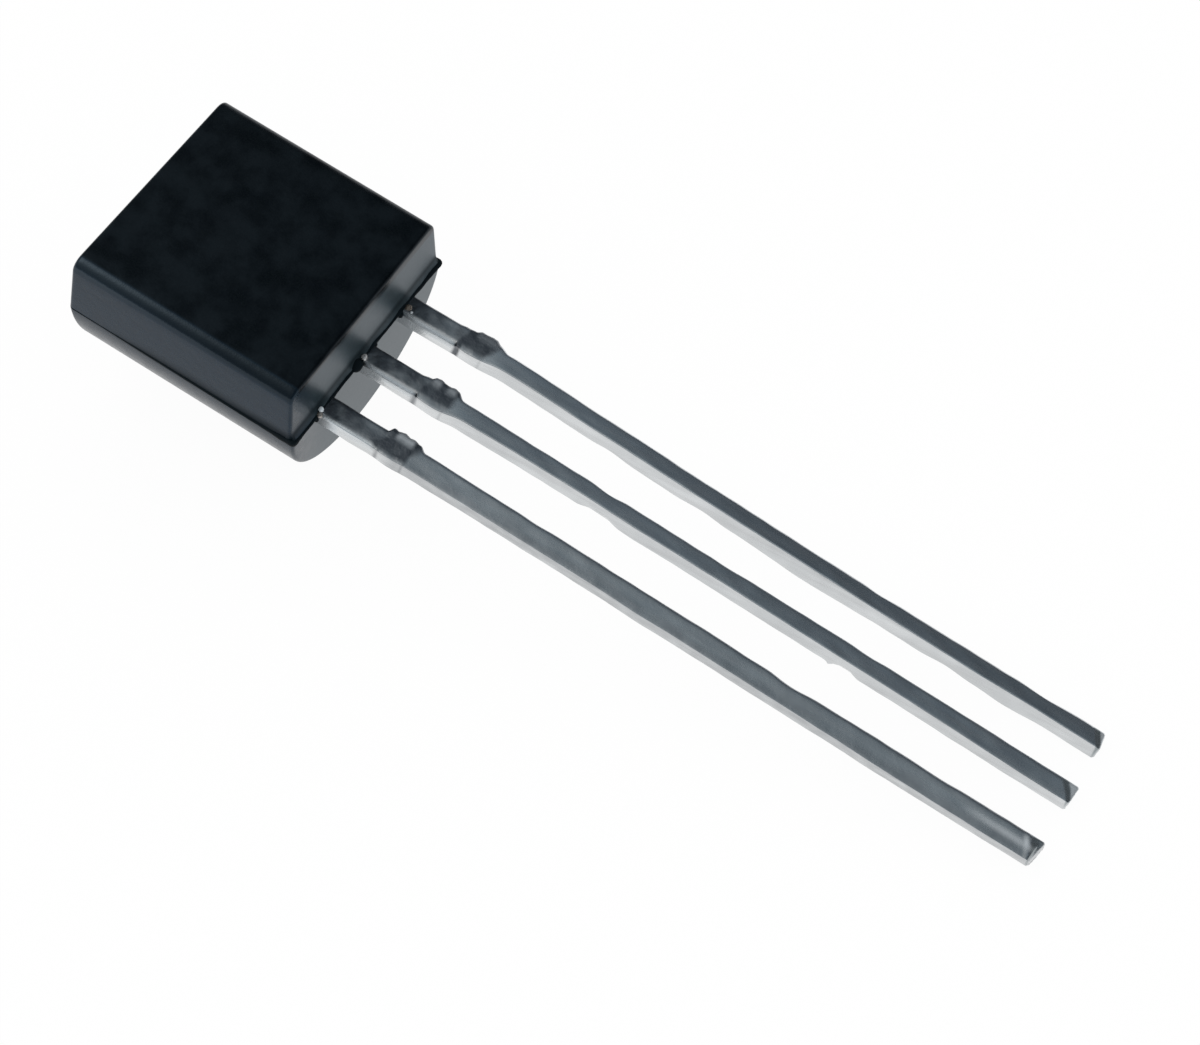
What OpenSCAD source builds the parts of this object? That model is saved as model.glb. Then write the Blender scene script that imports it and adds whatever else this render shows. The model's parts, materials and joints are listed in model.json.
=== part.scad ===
// Three-lead transistor in a small moulded case with a flat front and a round back.
// It lies as it comes to rest on a table: the marking flat looks up, and the part stands
// on the heel of its round back and on the three lead tips.
//
// The case frame, before the part is laid down: X runs from the closed end of the case
// towards the lead tips, Y runs across the leads, and Z is the outward normal of the
// marking flat, which is the plane Z = 0.

/* [Case] */
// Length of the case along the leads, at the parting plane
case_len = 4.59; // [4:0.01:5.6]
// Thickness of the case from the marking flat to the crown of the back
case_t = 3.62; // [3:0.01:4.4]
// Radius of the round back
back_r = 2.25; // [2.2:0.01:2.8]
// Depth of the parting plane below the marking flat
parting_depth = 1.29; // [1.1:0.01:1.5]
// Draft of the two long sides between the flat and the parting plane, in degrees
side_draft = 6.5; // [1:0.5:10]
// Draft of the two ends between the flat and the parting plane, in degrees
end_draft = 5.5; // [1:0.5:10]
// Draft of the two ends between the parting plane and the back, in degrees
back_draft = 2; // [0.5:0.5:5]
// Radius of the two long edges of the flat
edge_r = 0.26; // [0.1:0.01:0.4]
// Radius of the edges at the two ends of the flat
end_edge_r = 0.06; // [0.03:0.01:0.1]

/* [Flash] */
// How far the moulding flash stands out all round the parting plane
flash_out = 0.04; // [0.02:0.01:0.1]
// Thickness of the moulding flash
flash_t = 0.04; // [0.02:0.01:0.08]

/* [Leads] */
// Distance between the middles of neighbouring leads
lead_pitch = 1.27; // [1.1:0.01:1.53]
// Length of the leads outside the case
lead_len = 13.96; // [11:0.01:17]
// Width of a lead beyond the dam bar stubs
lead_w = 0.38; // [0.32:0.01:0.5]
// Width of a lead between the case and the dam bar stubs, and inside the case
root_w = 0.45; // [0.34:0.01:0.56]
// Thickness of the lead frame
lead_t = 0.37; // [0.28:0.01:0.46]
// Radius of the long edges of a lead
lead_edge_r = 0.05; // [0.02:0.01:0.1]
// Distance from the case to the dam bar stubs
dam_start = 1.14; // [0.8:0.01:2]
// Length of a dam bar stub along the lead
dam_len = 0.55; // [0.3:0.01:0.8]
// How far a dam bar stub stands out of its lead, on the side of +Y
dam_out = 0.12; // [0.03:0.01:0.15]
// How far the burr left by the dam bar stands out on the lead's other side
dam_burr = 0.02; // [0.01:0.01:0.1]
// How much further the underside of a sheared lead tip reaches than its top
tip_shear = 0.03; // [0.01:0.01:0.4]
// Offset of the middle lead from the middle of the case
row_offset = -0.06; // [-0.15:0.01:0.15]
// Turn of each lead beyond its dam bar stubs, within the plane of the leads, in degrees
lead_turn = [-0.25, -0.4, -1.2];
// Droop of all the leads beyond the dam bar stubs, away from the flat, in degrees
lead_droop = 0.5; // [0:0.1:2]

/* [Lead frame inside the case] */
// Distance from the closed end of the case to the die pad
pad_start = 1.05; // [0.7:0.01:1.3]
// Length of the die pad along the leads
pad_len = 1.7; // [1.3:0.01:1.9]
// Width of the die pad
pad_w = 1.24; // [1:0.01:1.3]
// Distance from the closed end of the case to the bonding posts of the outer leads
post_start = 1.3; // [1:0.01:1.5]
// Length of a bonding post
post_len = 0.9; // [0.6:0.01:1.1]
// Width of a bonding post
post_w = 0.62; // [0.56:0.01:0.7]
// Distance from the lead end of the case to the locking bars
lock_inset = 0.7; // [0.5:0.01:0.9]
// Length of a locking bar along the lead
lock_len = 0.3; // [0.2:0.01:0.4]
// How far a locking bar stands out of each side of its lead
lock_out = 0.1; // [0.05:0.01:0.12]

/* [Die and bond wires] */
// Side of the square silicon die
die_side = 0.5; // [0.4:0.01:0.7]
// Thickness of the silicon die
die_t = 0.2; // [0.15:0.01:0.25]
// Thickness of the die bond
bond_t = 0.03; // [0.02:0.005:0.05]
// How far the die bond reaches past the die all round
bond_out = 0.05; // [0.03:0.01:0.08]
// Distance of each wire's start from the middle of the die, along both of its sides
pad_spread = 0.12; // [0.08:0.01:0.15]
// Diameter of a bond wire
wire_d = 0.05; // [0.04:0.005:0.07]
// Diameter of the ball or stitch at each end of a wire
ball_d = 0.11; // [0.1:0.01:0.14]
// Height of the ball or stitch
ball_h = 0.03; // [0.02:0.005:0.05]
// Height of a wire's run above the die
loop_h = 0.26; // [0.22:0.01:0.35]
// Radius of a wire's two bends, to its middle
bend_r = 0.12; // [0.1:0.01:0.15]

/* [Hidden] */
$fn = 96;
thin_fn = 48;

// What a rounding's radius gains, so that its arc crosses the faces beside it
arc_lap = 0.0002;

// Places of the three leads in the row
EMITTER = 0;
COLLECTOR = 1;
BASE = 2;

// Case
back_axis_z = back_r - case_t;
half_w = sqrt(pow(back_r, 2) - pow(parting_depth + back_axis_z, 2));
flat_half_w = half_w - parting_depth * tan(side_draft);
flat_inset = parting_depth * tan(end_draft);
back_inset = (case_t - parting_depth) * tan(back_draft);

// Leads
lead_top = -parting_depth;
lead_mid = lead_top - lead_t / 2;
face_x = case_len + flash_out;
turn_x = case_len + dam_start + dam_len / 2;
run_len = case_len + lead_len - turn_x;

// Die and bond wires
die_x = pad_start + pad_len / 2;
die_top = lead_top + bond_t + die_t;
post_x = post_start + post_len / 2;
loop_z = die_top + loop_h;

// Rest: the heel of the back and the lower edge of the lead tips both touch the table
heel_x = case_len - back_inset;
tip_low_x = turn_x + run_len * cos(lead_droop) - lead_t / 2 * sin(lead_droop);
tip_low_z = lead_mid - run_len * sin(lead_droop) - lead_t / 2 * cos(lead_droop);
tip_top_x = turn_x + (run_len - tip_shear) * cos(lead_droop) + lead_t / 2 * sin(lead_droop);
tip_top_z = lead_mid - (run_len - tip_shear) * sin(lead_droop) + lead_t / 2 * cos(lead_droop);
rest_tilt = atan2(tip_low_z + case_t, tip_low_x - heel_x);
rest_low_x = laid_x(back_inset, -case_t);
rest_high_x = max(laid_x(tip_low_x, tip_low_z), laid_x(tip_top_x, tip_top_z));
rest_shift = [-(rest_low_x + rest_high_x) / 2, 0, -laid_z(heel_x, -case_t)];

// X and Z of a point of the case frame once the part is tilted
function laid_x(x, z) = x * cos(rest_tilt) + z * sin(rest_tilt);
function laid_z(x, z) = z * cos(rest_tilt) - x * sin(rest_tilt);

// Y of a lead's middle
function lead_y(place) = row_offset + (place - COLLECTOR) * lead_pitch;

// Lays the part down on the table
module laid() {
    translate(rest_shift)
        rotate([0, rest_tilt, 0])
            children();
}

// Extrudes an outline drawn as [Y, Z] along X, from one X to another
module along_x(from, to) {
    translate([from, 0, 0])
        rotate([90, 0, 90])
            linear_extrude(to - from)
                children();
}

// Extrudes an outline drawn as [X, Z] across the whole width of the case
module across_case() {
    width = 2 * (back_r + flash_out);
    translate([0, width / 2, 0])
        rotate([90, 0, 0])
            linear_extrude(width)
                children();
}

// What a rounding takes off the corner between the flat and a drafted side, and the space
// outside that corner
module corner_waste(radius, draft) {
    spread = 2 * radius;
    translate([-radius * tan((90 - draft) / 2), -radius])
        difference() {
            polygon([
                [0, 0],
                [0, spread],
                [spread, spread],
                [spread * cos(draft), spread * sin(draft)]
            ]);
            circle(radius + arc_lap, $fn = thin_fn);
        }
}

// Outline of the half on the flat's side, seen along or across the leads: the flat on top,
// a drafted side at each end and rounded corners between them
module flat_side_outline(flat_half, draft, radius) {
    parting_half = flat_half + parting_depth * tan(draft);
    difference() {
        polygon([
            [-flat_half, 0],
            [flat_half, 0],
            [parting_half, -parting_depth],
            [-parting_half, -parting_depth]
        ]);
        for (side = [0, 1])
            mirror([side, 0])
                translate([flat_half, 0])
                    corner_waste(radius, draft);
    }
}

// Cross-section of the case between the parting plane and the back
module back_side_section() {
    difference() {
        translate([0, back_axis_z])
            circle(back_r);
        translate([-back_r, -parting_depth])
            square([2 * back_r, case_t]);
    }
}

// The two halves of the moulding and the flash between them, with nothing inside
module moulding() {
    intersection() {
        along_x(0, case_len)
            flat_side_outline(flat_half_w, side_draft, edge_r);
        across_case()
            translate([case_len / 2, 0])
                flat_side_outline(case_len / 2 - flat_inset, end_draft, end_edge_r);
    }
    intersection() {
        along_x(0, case_len)
            back_side_section();
        across_case()
            polygon([
                [0, -parting_depth],
                [case_len, -parting_depth],
                [case_len - back_inset, -case_t],
                [back_inset, -case_t]
            ]);
    }
    translate([-flash_out, -half_w - flash_out, -parting_depth - flash_t])
        cube([case_len + 2 * flash_out, 2 * (half_w + flash_out), flash_t]);
}

// A rectangle of the lead frame's plan, from one X to another
module strip(place, from, to, width) {
    translate([from, lead_y(place) - width / 2])
        square([to - from, width]);
}

// The part of a lead inside the case, as far as the outside of the flash
module lead_inside(place) {
    is_pad = place == COLLECTOR;
    start = is_pad ? pad_start : post_start;
    lock_x = case_len - lock_inset - lock_len;
    translate([0, 0, lead_top - lead_t])
        linear_extrude(lead_t) {
            strip(place, start, face_x, root_w);
            strip(place, start, start + (is_pad ? pad_len : post_len), is_pad ? pad_w : post_w);
            strip(place, lock_x, lock_x + lock_len, root_w + 2 * lock_out);
        }
}

// Cross-section of a lead outside the case: a rectangle with rounded corners
module lead_section(width) {
    core_w = width - 2 * lead_edge_r;
    core_t = lead_t - 2 * lead_edge_r;
    square([core_w, lead_t], center = true);
    square([width, core_t], center = true);
    for (side = [-1, 1], face = [-1, 1])
        translate([side * core_w / 2, face * core_t / 2])
            circle(lead_edge_r, $fn = thin_fn);
}

// The long run of a lead beyond its dam bar stubs, sheared off at a slant
module lead_run() {
    blade = lead_w + 2 * dam_out;
    difference() {
        along_x(0, run_len)
            lead_section(lead_w);
        translate([0, blade / 2, 0])
            rotate([90, 0, 0])
                linear_extrude(blade)
                    polygon([
                        [run_len - tip_shear, lead_t / 2],
                        [run_len, -lead_t / 2],
                        [run_len + tip_shear, -lead_t / 2],
                        [run_len + tip_shear, lead_t],
                        [run_len - tip_shear, lead_t]
                    ]);
    }
}

// One whole lead, from its end inside the case to its tip
module lead(place) {
    lead_inside(place);
    translate([0, lead_y(place), lead_mid]) {
        along_x(face_x, turn_x)
            lead_section(root_w);
        translate([0, (dam_out - dam_burr) / 2, 0])
            along_x(case_len + dam_start, case_len + dam_start + dam_len)
                lead_section(root_w + dam_out + dam_burr);
        translate([turn_x, 0, 0])
            rotate([0, lead_droop, lead_turn[place]])
                lead_run();
    }
}

// The silicon chip, on its bond
module chip() {
    translate([die_x - die_side / 2, lead_y(COLLECTOR) - die_side / 2, die_top - die_t])
        cube([die_side, die_side, die_t]);
}

// The thin bond that holds the chip on the die pad
module chip_bond() {
    side = die_side + 2 * bond_out;
    translate([die_x - side / 2, lead_y(COLLECTOR) - side / 2, lead_top])
        cube([side, side, bond_t]);
}

// A quarter bend of wire that starts upwards at the origin and turns towards X
module wire_bend() {
    translate([bend_r, 0, 0])
        rotate([90, 0, 180])
            rotate_extrude(angle = 90)
                translate([bend_r, 0])
                    circle(d = wire_d, $fn = thin_fn);
}

// A bond wire from the die to the bonding post of an outer lead
module bond_wire(place) {
    side = place == EMITTER ? -1 : 1;
    start = [die_x + side * pad_spread, lead_y(COLLECTOR) + side * pad_spread];
    reach = [post_x, lead_y(place)] - start;
    // Kept to whole micrometres, so that the straight lengths and the bends meet exactly
    run = round(norm(reach) * 1000) / 1000;
    bend_z = loop_z - bend_r;
    translate([start[0], start[1], 0])
        rotate([0, 0, atan2(reach[1], reach[0])]) {
            translate([0, 0, die_top]) {
                cylinder(h = ball_h, d = ball_d, $fn = thin_fn);
                cylinder(h = bend_z - die_top, d = wire_d, $fn = thin_fn);
            }
            translate([0, 0, bend_z])
                wire_bend();
            translate([bend_r, 0, loop_z])
                rotate([0, 90, 0])
                    cylinder(h = run - 2 * bend_r, d = wire_d, $fn = thin_fn);
            translate([run, 0, bend_z])
                mirror([1, 0, 0])
                    wire_bend();
            translate([run, 0, lead_top]) {
                cylinder(h = ball_h, d = ball_d, $fn = thin_fn);
                cylinder(h = bend_z - lead_top, d = wire_d, $fn = thin_fn);
            }
        }
}

// The moulded case, shaped round everything that it holds
module case_shell() {
    color([0.05, 0.06, 0.07])
        laid()
            difference() {
                moulding();
                for (place = [EMITTER, COLLECTOR, BASE])
                    lead_inside(place);
                chip();
                chip_bond();
                bond_wire(EMITTER);
                bond_wire(BASE);
            }
}

module tinned_lead(place) {
    color([0.72, 0.74, 0.76])
        laid()
            lead(place);
}

module die() {
    color([0.35, 0.36, 0.42])
        laid()
            chip();
}

module die_bond() {
    color([0.7, 0.7, 0.68])
        laid()
            chip_bond();
}

module gold_wire(place) {
    color([0.9, 0.72, 0.3])
        laid()
            bond_wire(place);
}

case_shell();  // case
tinned_lead(EMITTER);  // emitter_lead
tinned_lead(COLLECTOR);  // collector_lead
tinned_lead(BASE);  // base_lead
die();
die_bond();
gold_wire(EMITTER);  // emitter_wire
gold_wire(BASE);  // base_wire
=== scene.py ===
"""Looks of a three-lead transistor in a small moulded case, lying on its round back.

Shapes are worked out in the case frame, in millimetres: X runs from the closed end of the
case towards the lead tips, Y runs across the leads, and Z is the outward normal of the
marking flat, which is the plane Z = 0. place() takes them to the CAD model's frame.
"""
import json
import math
from functools import partial

import bmesh
import bpy
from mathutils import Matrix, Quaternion, Vector, noise


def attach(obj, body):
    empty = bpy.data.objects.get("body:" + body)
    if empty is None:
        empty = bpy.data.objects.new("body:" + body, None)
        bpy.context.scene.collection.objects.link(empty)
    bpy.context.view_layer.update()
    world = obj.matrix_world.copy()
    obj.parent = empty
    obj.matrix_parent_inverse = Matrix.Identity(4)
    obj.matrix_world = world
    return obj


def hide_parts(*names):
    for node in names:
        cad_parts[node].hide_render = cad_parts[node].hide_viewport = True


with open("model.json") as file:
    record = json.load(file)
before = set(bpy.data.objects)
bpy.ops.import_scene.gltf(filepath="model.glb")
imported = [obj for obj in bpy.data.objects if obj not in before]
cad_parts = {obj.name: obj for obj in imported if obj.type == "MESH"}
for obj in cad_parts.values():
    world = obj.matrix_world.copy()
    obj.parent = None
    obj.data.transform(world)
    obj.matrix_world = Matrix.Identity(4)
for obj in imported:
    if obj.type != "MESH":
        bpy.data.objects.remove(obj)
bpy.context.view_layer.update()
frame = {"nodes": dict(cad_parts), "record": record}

MM = 0.001

# The case, in millimetres, with angles in radians. The end edges, rounded by END_R and at the
# sides by SIDE_END_R, are followed by a ring END_REACH radii from the end. The flat's half of
# the case stands back by LEDGE at the lead end. Between rings at SEAM_LOW and SEAM_H above the
# parting plane it is painted darker and duller, like the flash, as painted shade under it.
CASE_LEN = 4.59
CASE_T = 3.62
BACK_R = 2.25
PARTING = 1.29
SIDE_DRAFT = math.radians(6.5)
END_DRAFT = math.radians(5.5)
BACK_DRAFT = math.radians(2)
EDGE_R = 0.26
END_R = 0.07
SIDE_END_R = 0.06
END_REACH = 1.8
LEDGE = 0.065
SEAM_H = 0.3
SEAM_LOW = 0.006
BACK_AXIS = BACK_R - CASE_T
HALF_W = math.sqrt(BACK_R ** 2 - (PARTING + BACK_AXIS) ** 2)
FLAT_HALF = HALF_W - PARTING * math.tan(SIDE_DRAFT)

# How finely the case is divided
FLAT_STEPS = 6
ARC_STEPS = 12
SIDE_STEPS = 5
BACK_STEPS = 44
END_STEPS = 6
BODY_STEPS = 14

# The flash round the parting plane. FLASH_STEP is the distance between its rings, and it
# starts FLASH_ROOT inside the case.
FLASH_STEP = 0.04
FLASH_CORNER_STEPS = 4
FLASH_ROOT = 0.08

# A lump of resin beside a lead. It has rings of WEB_POINTS points at shares of its reach, which
# is counted from WEB_START inside the case's end, and it starts WEB_SUNK before that.
WEB_SHARES = (-1.0, 0.0, 0.25, 0.5, 0.7, 0.85, 0.95, 1.0)
WEB_POINTS = 16
WEB_START = 0.01
WEB_SUNK = 0.05

# The leads, in millimetres, with angles in radians. FAR_STUB and NEAR_BURR are how far the
# remains of the dam bar stand out, and CLEARANCE keeps the tips just above the table.
LEAD_PITCH = 1.27
ROW_OFFSET = -0.06
LEAD_T = 0.37
ROOT_W = 0.45
FAR_EDGE_R = 0.075
LOW_EDGE_R = 0.05
INSIDE_EDGE_R = 0.012
CROWN = 0.005
CLEARANCE = 0.004
DAM_START = 1.14
DAM_LEN = 0.55
FAR_STUB = 0.118
NEAR_BURR = 0.018
DROOP = math.radians(0.5)
LOCK_START = 3.59
LOCK_LEN = 0.3
LOCK_OUT = 0.1
WIDTH_STEP = 0.004
WIDE_CHAMFER = (0.015, 0.03)

# How finely the leads are divided: points of a ring, distances between rings, and beads
CORNER_STEPS = 6
FACE_POINTS = 9
SIDE_POINTS = 4
RUN_STEP = 0.04
DAM_STEP = 0.013
TIP_LEN = 0.4
TIP_STEP = 0.02
LAST_STEP = 0.008
CUT_RINGS = (0.94, 0.78, 0.6, 0.42, 0.22)
CUT_BULGE = 0.006
CUT_WEAR = 0.35
BEAD_STEPS = 8
BEAD_POINTS = 12

# Per lead, with lengths in millimetres from where it leaves the case, and shares from 0 to 1.
#
# Its course: place is its place in the row, turn its turn away from the case's length in
# degrees, and end its length. line, width and twist are lists of a length and the value there:
# how far its middle stands from the straight line, its width, and its twist in degrees.
# Its edges: root_edge_r is the near upper edge's radius before the dam bar and run_edge_r the
# radius after it. nicks are dips in an edge: length, edge (1 far, -1 near, 0 the near lower
# one), depth and half length.
# The dam bar stub: bulge lists how full it is on the far side, ticks are the grooves on the
# near side (length, depth, half width), which are also painted dark as shade in them, and lips
# are the stretches, measured from the dam bar's start, where its rim is raised, by the share
# lip, and painted lighter there, partly as a painted highlight.
# The tip: rollover is the length and the slant of the stretch that the shears turned over, painted
# dark as shade in the dent they left, slope and fall the length and drop of its bevel, ridge how
# much of it is raised first, shade how dark that painted shade stays, lean how far the cut leans
# back at the top, and skew how far it slants.
# The surface: run_shade is how much painted shade darkens the run, root_light and stub_light
# where on the near side the root and the stub get lighter, and edge_sheen, flank_sheen and
# end_sheen how dull and light the near edge, the near side at the root and the last stretch
# are, as painted highlights. seed sets the irregular values.
# beads are the drops of tin at the root: along, across and up from the upper face's middle,
# radius, how stained each is, and how dull and light, which paints a glint on it.
# Inside the case: a wider part starts at start, wide in width and wide_len long.
LEADS = {
    "emitter_lead": dict(
        place=-1, turn=-0.25, seed=11.0, root_edge_r=0.035, run_edge_r=0.018,
        run_shade=1.4, lip=0.75, root_light=0.6, stub_light=0.6,
        edge_sheen=0.35, flank_sheen=0.55, end_sheen=0.4,
        end=13.9, lean=0.075, skew=0.09,
        rollover=(0.27, 0.6), slope=0.16, fall=0.055, ridge=1.0, shade=1.0,
        line=((0, 0.03), (4, 0.036), (7, 0.022), (10, -0.004), (11.5, -0.008), (13.9, -0.004)),
        width=((1.6, 0.45), (3.2, 0.425), (8, 0.42), (10, 0.415), (11, 0.43), (13.9, 0.43)),
        twist=((1.5, 0), (3.5, 2.4), (8, 2.8), (13.9, 8)),
        bulge=((1.13, 0), (1.2, 1.0), (1.6, 1.0), (1.72, 0.8), (1.88, 0)),
        ticks=((1.18, 0.5, 0.07), (1.68, 0.5, 0.07)), lips=((0.2, 0.48),),
        beads=((0.01, -0.125, 0.08, 0.05, 0.0, 0.8), (0.03, -0.19, 0.0, 0.055, 0.7, 0.25)),
        nicks=((9.15, 1, 0.03, 0.5), (4.1, 1, 0.01, 0.4), (11.9, 1, 0.015, 0.5), (6.3, -1, -0.01, 0.6)),
        start=1.3, wide=0.62, wide_len=0.9),
    "collector_lead": dict(
        place=0, turn=-0.4, seed=27.0, root_edge_r=0.1, run_edge_r=0.018,
        run_shade=0.5, lip=0.55, root_light=0.5, stub_light=0.3,
        edge_sheen=0.55, flank_sheen=0.25, end_sheen=0.0,
        end=14.01, lean=0.03, skew=0.04,
        rollover=(0.36, 0.75), slope=0.12, fall=0.015, ridge=0.0, shade=0.1,
        line=((0, 0), (4.4, 0.008), (5.5, -0.006), (7.2, -0.006), (10, -0.022), (13.9, -0.028)),
        width=((1.6, 0.45), (2.0, 0.375), (3.3, 0.362), (5, 0.345), (7, 0.35), (9, 0.362), (13.9, 0.37)),
        twist=((1.6, 0), (2.2, -7), (3.2, -8), (9, -7), (11.5, -4), (13.9, 1)),
        bulge=((1.0, 0), (1.12, 0.25), (1.18, 0.3), (1.25, 0.95), (1.33, 1.0), (1.43, 0.78),
               (1.53, 0.8), (1.62, 1.0), (1.7, 0.85), (1.86, 0)),
        ticks=((1.13, 0.65, 0.1), (1.66, 0.3, 0.06)), lips=((0.12, 0.22), (0.41, 0.53)),
        beads=((0.03, -0.13, 0.07, 0.06, 0.35, 0.35),),
        nicks=((4.85, 0, 0.1, 0.45), (4.85, 1, 0.03, 0.4), (9.47, 0, -0.04, 0.07), (9.75, 0, 0.08, 0.33),
               (10.0, 1, 0.015, 0.4), (7.2, 1, 0.012, 0.4)),
        start=1.05, wide=1.24, wide_len=1.7),
    "base_lead": dict(
        place=1, turn=-1.2, seed=43.0, root_edge_r=0.11, run_edge_r=0.018,
        run_shade=0.4, lip=0.3, root_light=0.45, stub_light=0.45,
        edge_sheen=0.55, flank_sheen=0.3, end_sheen=0.0,
        end=14.05, lean=0.02, skew=-0.02,
        rollover=(0.27, 0.6), slope=0.12, fall=0.015, ridge=0.0, shade=0.15,
        line=((0, -0.045), (1.6, -0.03), (2.4, -0.016), (4.2, -0.045), (6.2, -0.076), (9.4, -0.09),
              (11.5, -0.07), (13, -0.04), (13.9, -0.034)),
        width=((1.6, 0.45), (2.05, 0.385), (3, 0.37), (13.9, 0.365)),
        twist=((1.6, 0), (2.2, -6), (3.5, -7), (6, -11), (8.5, -13), (11, -10), (13.9, -9)),
        bulge=((0.98, 0), (1.15, 0.2), (1.3, 0.35), (1.4, 0.85), (1.52, 1.0), (1.68, 0.98),
               (1.8, 0.6), (2.02, 0)),
        ticks=((1.19, 1.1, 0.1), (1.66, 0.25, 0.06)), lips=((0.26, 0.62),),
        beads=((0.07, -0.1, -0.03, 0.075, 0.9, 0.2), (0.17, -0.15, -0.01, 0.03, 0.0, 0.5)),
        nicks=((9.66, 1, 0.025, 0.4), (12.86, 1, 0.035, 0.6), (4.4, 0, 0.03, 0.4), (6.3, 0, 0.03, 0.5),
               (8.4, 0, -0.04, 1.3), (11.2, 0, 0.03, 0.5), (12.4, 0, -0.04, 0.7)),
        start=1.3, wide=0.62, wide_len=0.9),
}
LEAD_MID = -PARTING - LEAD_T / 2
DAM_MID = DAM_START + DAM_LEN / 2
TURN_X = CASE_LEN + DAM_MID

# Camera and lamp. The camera's places are in millimetres, the lamp's sizes in metres and watts.
CAMERA_AT = Vector((7.525, -13.996, 29.149)) * MM
CAMERA_AIM = Vector((0.269, -0.186, 1.0)) * MM
CAMERA_ROLL = math.radians(3.43)
CAMERA_LENS = 56.09
KEY_FROM = Vector((-0.45, -0.3, 0.84))
KEY_DISTANCE = 0.12
KEY_SIZE = 0.075
KEY_POWER = 0.012

# Floor and world. Gloss sees ROOM_STOPS by the height of the direction it comes from, and over
# that a soft light round OVERHEAD_FROM and a strip round STRIP_AT, STRIP_HALF in half size.
FLOOR_HALF = 1.0
FLOOR_WHITE = 0.955
ROOM_STOPS = ((0.04, (1.0, 1.0, 1.0)), (0.1, (0.24, 0.28, 0.33)), (0.15, (0.15, 0.18, 0.22)),
              (0.3, (0.075, 0.09, 0.11)), (0.5, (0.04, 0.05, 0.06)), (1.0, (0.02, 0.025, 0.03)))
OVERHEAD_FROM = Vector((-0.42, -0.33, 0.845)).normalized()
OVERHEAD_LEVEL = 2.0
OVERHEAD_STOPS = ((0.0, (0.0, 0.0, 0.0)), (0.3, (0.023, 0.030, 0.037)), (0.46, (0.042, 0.054, 0.065)),
                  (0.62, (0.085, 0.102, 0.113)), (0.75, (0.120, 0.137, 0.148)), (0.87, (0.17, 0.185, 0.195)),
                  (0.94, (0.22, 0.23, 0.23)), (1.0, (0.32, 0.32, 0.31)))
STRIP_AT = (-0.40, -0.13)
STRIP_HALF = (0.26, 0.5)
STRIP_STOPS = ((0.0, (1.0, 0.96, 0.9)), (0.3, (0.95, 0.91, 0.86)), (0.5, (0.58, 0.56, 0.53)),
               (0.69, (0.1, 0.1, 0.1)), (0.85, (0.04, 0.04, 0.04)), (1.0, (0.0, 0.0, 0.0)))
STRIP_REACH = 1.3


# --- Places ---------------------------------------------------------------------------

mounts = {mount["name"]: mount for mount in frame["record"]["mounts"]}
AXIS_X = Vector(mounts["lead_row"]["axis"]).normalized()
AXIS_Z = Vector(mounts["marking_flat"]["axis"]).normalized()
AXIS_Y = AXIS_Z.cross(AXIS_X)
ORIGIN = Vector(mounts["marking_flat"]["pos_m"]) - AXIS_X * (CASE_LEN / 2 * MM)


def place(x, y, z):
    """A point of the case frame, in millimetres, in the CAD model's frame, in metres."""
    return ORIGIN + (AXIS_X * x + AXIS_Y * y + AXIS_Z * z) * MM


def rough_at(x, y, z, scale, seed):
    """Smooth irregular value from -1 to 1 at a place, with humps about 1 / scale across."""
    return noise.noise(Vector((x * scale + seed, y * scale - seed, z * scale + 2 * seed)))


def ease(value, low, high):
    """0 below low, 1 above high and a smooth rise between them."""
    t = min(max((value - low) / (high - low), 0.0), 1.0)
    return t * t * (3 - 2 * t)


def hump(value, centre, half):
    """1 at the centre, falling smoothly to nothing at half either side."""
    return 1 - ease(abs(value - centre), 0.0, half)


def track(value, points):
    """Reads a smooth curve through points, each a place and the height there."""
    for (low, low_height), (high, high_height) in zip(points, points[1:]):
        if value < high:
            return low_height + (high_height - low_height) * ease(value, low, high)
    return points[-1][1]


# --- Meshes ---------------------------------------------------------------------------

class Shell:
    """Vertices and faces of one piece, gathered part by part."""

    def __init__(self):
        self.points, self.faces, self.values = [], [], {}

    def add(self, points, **values):
        """Adds points of the case frame, each with the same named values, and returns their numbers."""
        first = len(self.points)
        self.points += points
        for name, numbers in values.items():
            self.values.setdefault(name, {}).update(
                {first + k: number for k, number in enumerate(numbers)})
        return list(range(first, first + len(points)))

    def bridge(self, ring_a, ring_b):
        """Joins two closed rings with the same number of points."""
        count = len(ring_a)
        for k in range(count):
            after = (k + 1) % count
            self.faces.append((ring_a[k], ring_b[k], ring_b[after], ring_a[after]))

    def build(self, name, sharp_angle, materials):
        """Makes the piece as a Blender object with smooth shading and sharp edges."""
        mesh = bpy.data.meshes.new(name)
        mesh.from_pydata([place(*point) for point in self.points], [], self.faces)
        for value_name, numbers in self.values.items():
            layer = mesh.attributes.new(value_name, "FLOAT", "POINT")
            for index, number in numbers.items():
                layer.data[index].value = number
        for material in materials:
            mesh.materials.append(material)
        piece = bpy.data.objects.new(name, mesh)
        bpy.context.scene.collection.objects.link(piece)
        face_outwards(mesh)
        mesh.shade_smooth()
        mesh.set_sharp_from_angle(angle=math.radians(sharp_angle))
        return piece


def face_outwards(mesh):
    """Turns the faces so that each closed shell's volume is positive."""
    shell = bmesh.new()
    shell.from_mesh(mesh)
    bmesh.ops.recalc_face_normals(shell, faces=shell.faces)
    shell.to_mesh(mesh)
    shell.free()


# --- Case -----------------------------------------------------------------------------

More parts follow.
